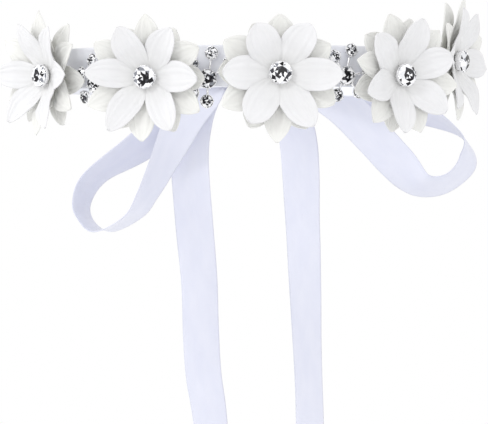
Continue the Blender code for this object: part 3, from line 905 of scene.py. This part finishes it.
def gathered_share(turn):
    """The share of its width that the circlet keeps: the knot gathers it, as in the CAD model."""
    from_knot = abs((math.degrees(turn) - BOW_ANGLE + 180.0) % 360.0 - 180.0)
    opened = smooth((from_knot - GATHER_END) / (GATHER_START - GATHER_END))
    return GATHERED_SHARE + (1 - GATHERED_SHARE) * opened


def make_circlet(material):
    """The ribbon round the head. Returns it, its width and its length."""
    low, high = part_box("ribbon_circlet")
    radius = (high.x - low.x) / 2 - CIRCLET_INSET
    half = (high.z - low.z) / 2
    shares = across_shares()
    rows, lengths = [], []
    for i in range(CIRCLET_STEPS):
        turn = math.tau * i / CIRCLET_STEPS
        out = Vector((math.sin(turn), -math.cos(turn), 0.0))
        kept = gathered_share(turn)
        row = []
        for share in shares:
            wave = CIRCLET_WAVE * math.sin(11 * turn) * share
            ripple = RIPPLE * noise.noise(out * 6 + Vector((0, 0, share)))
            fold = (1 - kept) * CIRCLET_PLEAT_DEPTH * math.sin(PLEATS * math.pi * share)
            up = Vector((0, 0, half * share * kept * CIRCLET_HEIGHT_SHARE))
            row.append(out * (radius + wave + ripple + fold) + up)
        rows.append(row)
        lengths.append(turn * radius)
    lengths.append(math.tau * radius)
    widths = [half * share for share in shares]
    circlet = ribbon_mesh("ribbon_circlet_look", rows, lengths, widths, material, closed=True)
    return circlet, 2 * half, math.tau * radius


def make_knot(frame, material):
    """The wrap: ribbon wound up and over the bow's middle, gathered into folds."""
    rows, lengths = [], []
    for i in range(KNOT_STEPS):
        turn = math.tau * i / KNOT_STEPS
        c, s = math.cos(turn), math.sin(turn)
        square = (abs(c) ** 3 + abs(s) ** 3) ** (-1 / 3)
        row = []
        for j in range(KNOT_COLUMNS + 1):
            share = 2 * j / KNOT_COLUMNS - 1
            pinch = 1 - 0.22 * share**4
            fold = KNOT_FOLD * math.sin(4.5 * math.pi * share + 0.6 * math.sin(2 * turn))
            y = (KNOT_HALF_DEPTH * square * pinch + fold) * c + KNOT_HALF_DEPTH + KNOT_STAND_OFF
            z = (KNOT_HALF_HEIGHT * square * pinch + fold) * s
            x = KNOT_HALF_WIDTH * share * (1 + 0.08 * math.sin(turn))
            row.append(frame @ Vector((x, y, z)))
        rows.append(row)
        lengths.append(turn * KNOT_HALF_HEIGHT)
    lengths.append(math.tau * KNOT_HALF_HEIGHT)
    widths = [KNOT_HALF_WIDTH * (2 * j / KNOT_COLUMNS - 1) for j in range(KNOT_COLUMNS + 1)]
    return ribbon_mesh("bow_knot_look", rows, lengths, widths, material, closed=True)


def bow_frame(radius):
    """The bow's frame on the back of the circlet: +X to its side, +Y out and +Z up."""
    angle = math.radians(BOW_ANGLE)
    back = Vector((math.sin(angle), -math.cos(angle), 0.0))
    side = Vector((-math.cos(angle), -math.sin(angle), 0.0))
    frame = Matrix((side, back, Vector((0.0, 0.0, 1.0)))).transposed().to_4x4()
    frame.translation = back * radius
    return frame


def make_bow(material, radius, width):
    frame = bow_frame(radius)

    knot = make_knot(frame, material)
    put(knot, "bow_knot", "crown")
    for name, stations, slant, start, end, held in (
        ("left_loop", LEFT_LOOP, 0.0, (-7.0, 3.8, 0.0), (-17.0, 3.8, -4.0), "folded"),
        ("right_loop", RIGHT_LOOP, 0.0, (7.0, 3.8, 0.0), (18.0, 3.8, -1.0), "folded"),
        ("left_tail", LEFT_TAIL, TAIL_SLANT, (-7.0, 9.0, -2.0), (-14.0, 15.0, -8.0), "hung"),
        ("right_tail", RIGHT_TAIL, -TAIL_SLANT, (7.0, 9.0, -2.0), (15.0, 15.0, -8.0), "hung"),
    ):
        strip, length = make_strip(f"bow_{name}_look", stations, frame, width, material, slant)
        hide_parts(f"bow_{name}")
        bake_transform(strip)


# ---- Camera, light and stage ----


def make_camera():
    turn = math.radians(CAMERA_TURN)
    camera = bpy.data.objects.new("camera", bpy.data.cameras.new("camera"))
    bpy.context.scene.collection.objects.link(camera)
    camera.data.sensor_width = SENSOR_MM
    camera.data.lens = LENS_MM
    camera.data.clip_start = 0.05
    camera.data.clip_end = 50.0
    camera.location = (
        CAMERA_DISTANCE * math.sin(turn) + CAMERA_SIDE * math.cos(turn),
        -CAMERA_DISTANCE * math.cos(turn) + CAMERA_SIDE * math.sin(turn),
        CAMERA_HEIGHT,
    )
    camera.rotation_euler = (math.pi / 2, 0.0, turn)
    bpy.context.scene.camera = camera


def area_light(name, place, target, size, power):
    light = bpy.data.lights.new(name, "AREA")
    light.shape = "DISK"
    light.size = size
    light.energy = power
    obj = bpy.data.objects.new(name, light)
    bpy.context.scene.collection.objects.link(obj)
    obj.location = place
    obj.rotation_euler = (Vector(target) - Vector(place)).to_track_quat("-Z", "Y").to_euler()


def make_stage(bottom):
    scene = bpy.context.scene
    scene.view_settings.view_transform = "Standard"
    scene.view_settings.look = "None"
    world = bpy.data.worlds.new("studio")
    world.use_nodes = True
    world.node_tree.nodes["Background"].inputs["Color"].default_value = (1.0, 1.0, 1.0, 1.0)
    world.node_tree.nodes["Background"].inputs["Strength"].default_value = 1.0
    scene.world = world
    for light in LIGHTS:
        area_light(*light)
    bm = bmesh.new()
    bmesh.ops.create_circle(bm, cap_ends=True, segments=96, radius=FLOOR_RADIUS)
    bmesh.ops.translate(bm, verts=bm.verts, vec=(0, 0, bottom - FLOOR_DROP))
    material, *_ = principled("floor", Roughness=0.8, Base_Color=FLOOR_COLOUR)
    floor = new_object("floor", bm, material, smooth_faces=False)


def main():
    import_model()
    cad_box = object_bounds()
    chance = random.Random(SEED)
    make_camera()
    looks = {
        "satin": satin_material("satin", *SATIN_COLOURS),
        # The circlet's copy of the satin is painted lighter, as painted light against the flowers'
        # shade.
        "band_painted_light": satin_material("circlet_satin_painted_light", *CIRCLET_PAINTED_LIGHT_COLOURS),
        # The front petals are painted lighter at the root, painted light against the shade round
        # the hub.
        "front petal painted light": petal_material("front_petal", *FRONT_PETAL_PAINTED_LIGHT_COLOURS),
        # The back petals are painted darker and warmer towards the root, as painted shade.
        "back petal painted shade": petal_material("back_petal_painted_shade", *BACK_PETAL_PAINTED_SHADE_COLOURS),
        "silver": silver_material(),
        "crystal": crystal_material(),
    }
    circlet, width, length = make_circlet(looks["band_painted_light"])
    put(circlet, "ribbon_circlet", "crown")
    low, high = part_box("ribbon_circlet")
    outside = (high.x - low.x) / 2
    for number, spec in enumerate(FLOWERS, start=1):
        make_flower(number, spec, looks, outside, chance)
    for number, spec in enumerate(SPRAYS, start=1):
        make_spray(number, spec, looks, outside, chance)
    make_bow(looks["satin"], outside, width)
    make_stage(cad_box[0][2])


main()
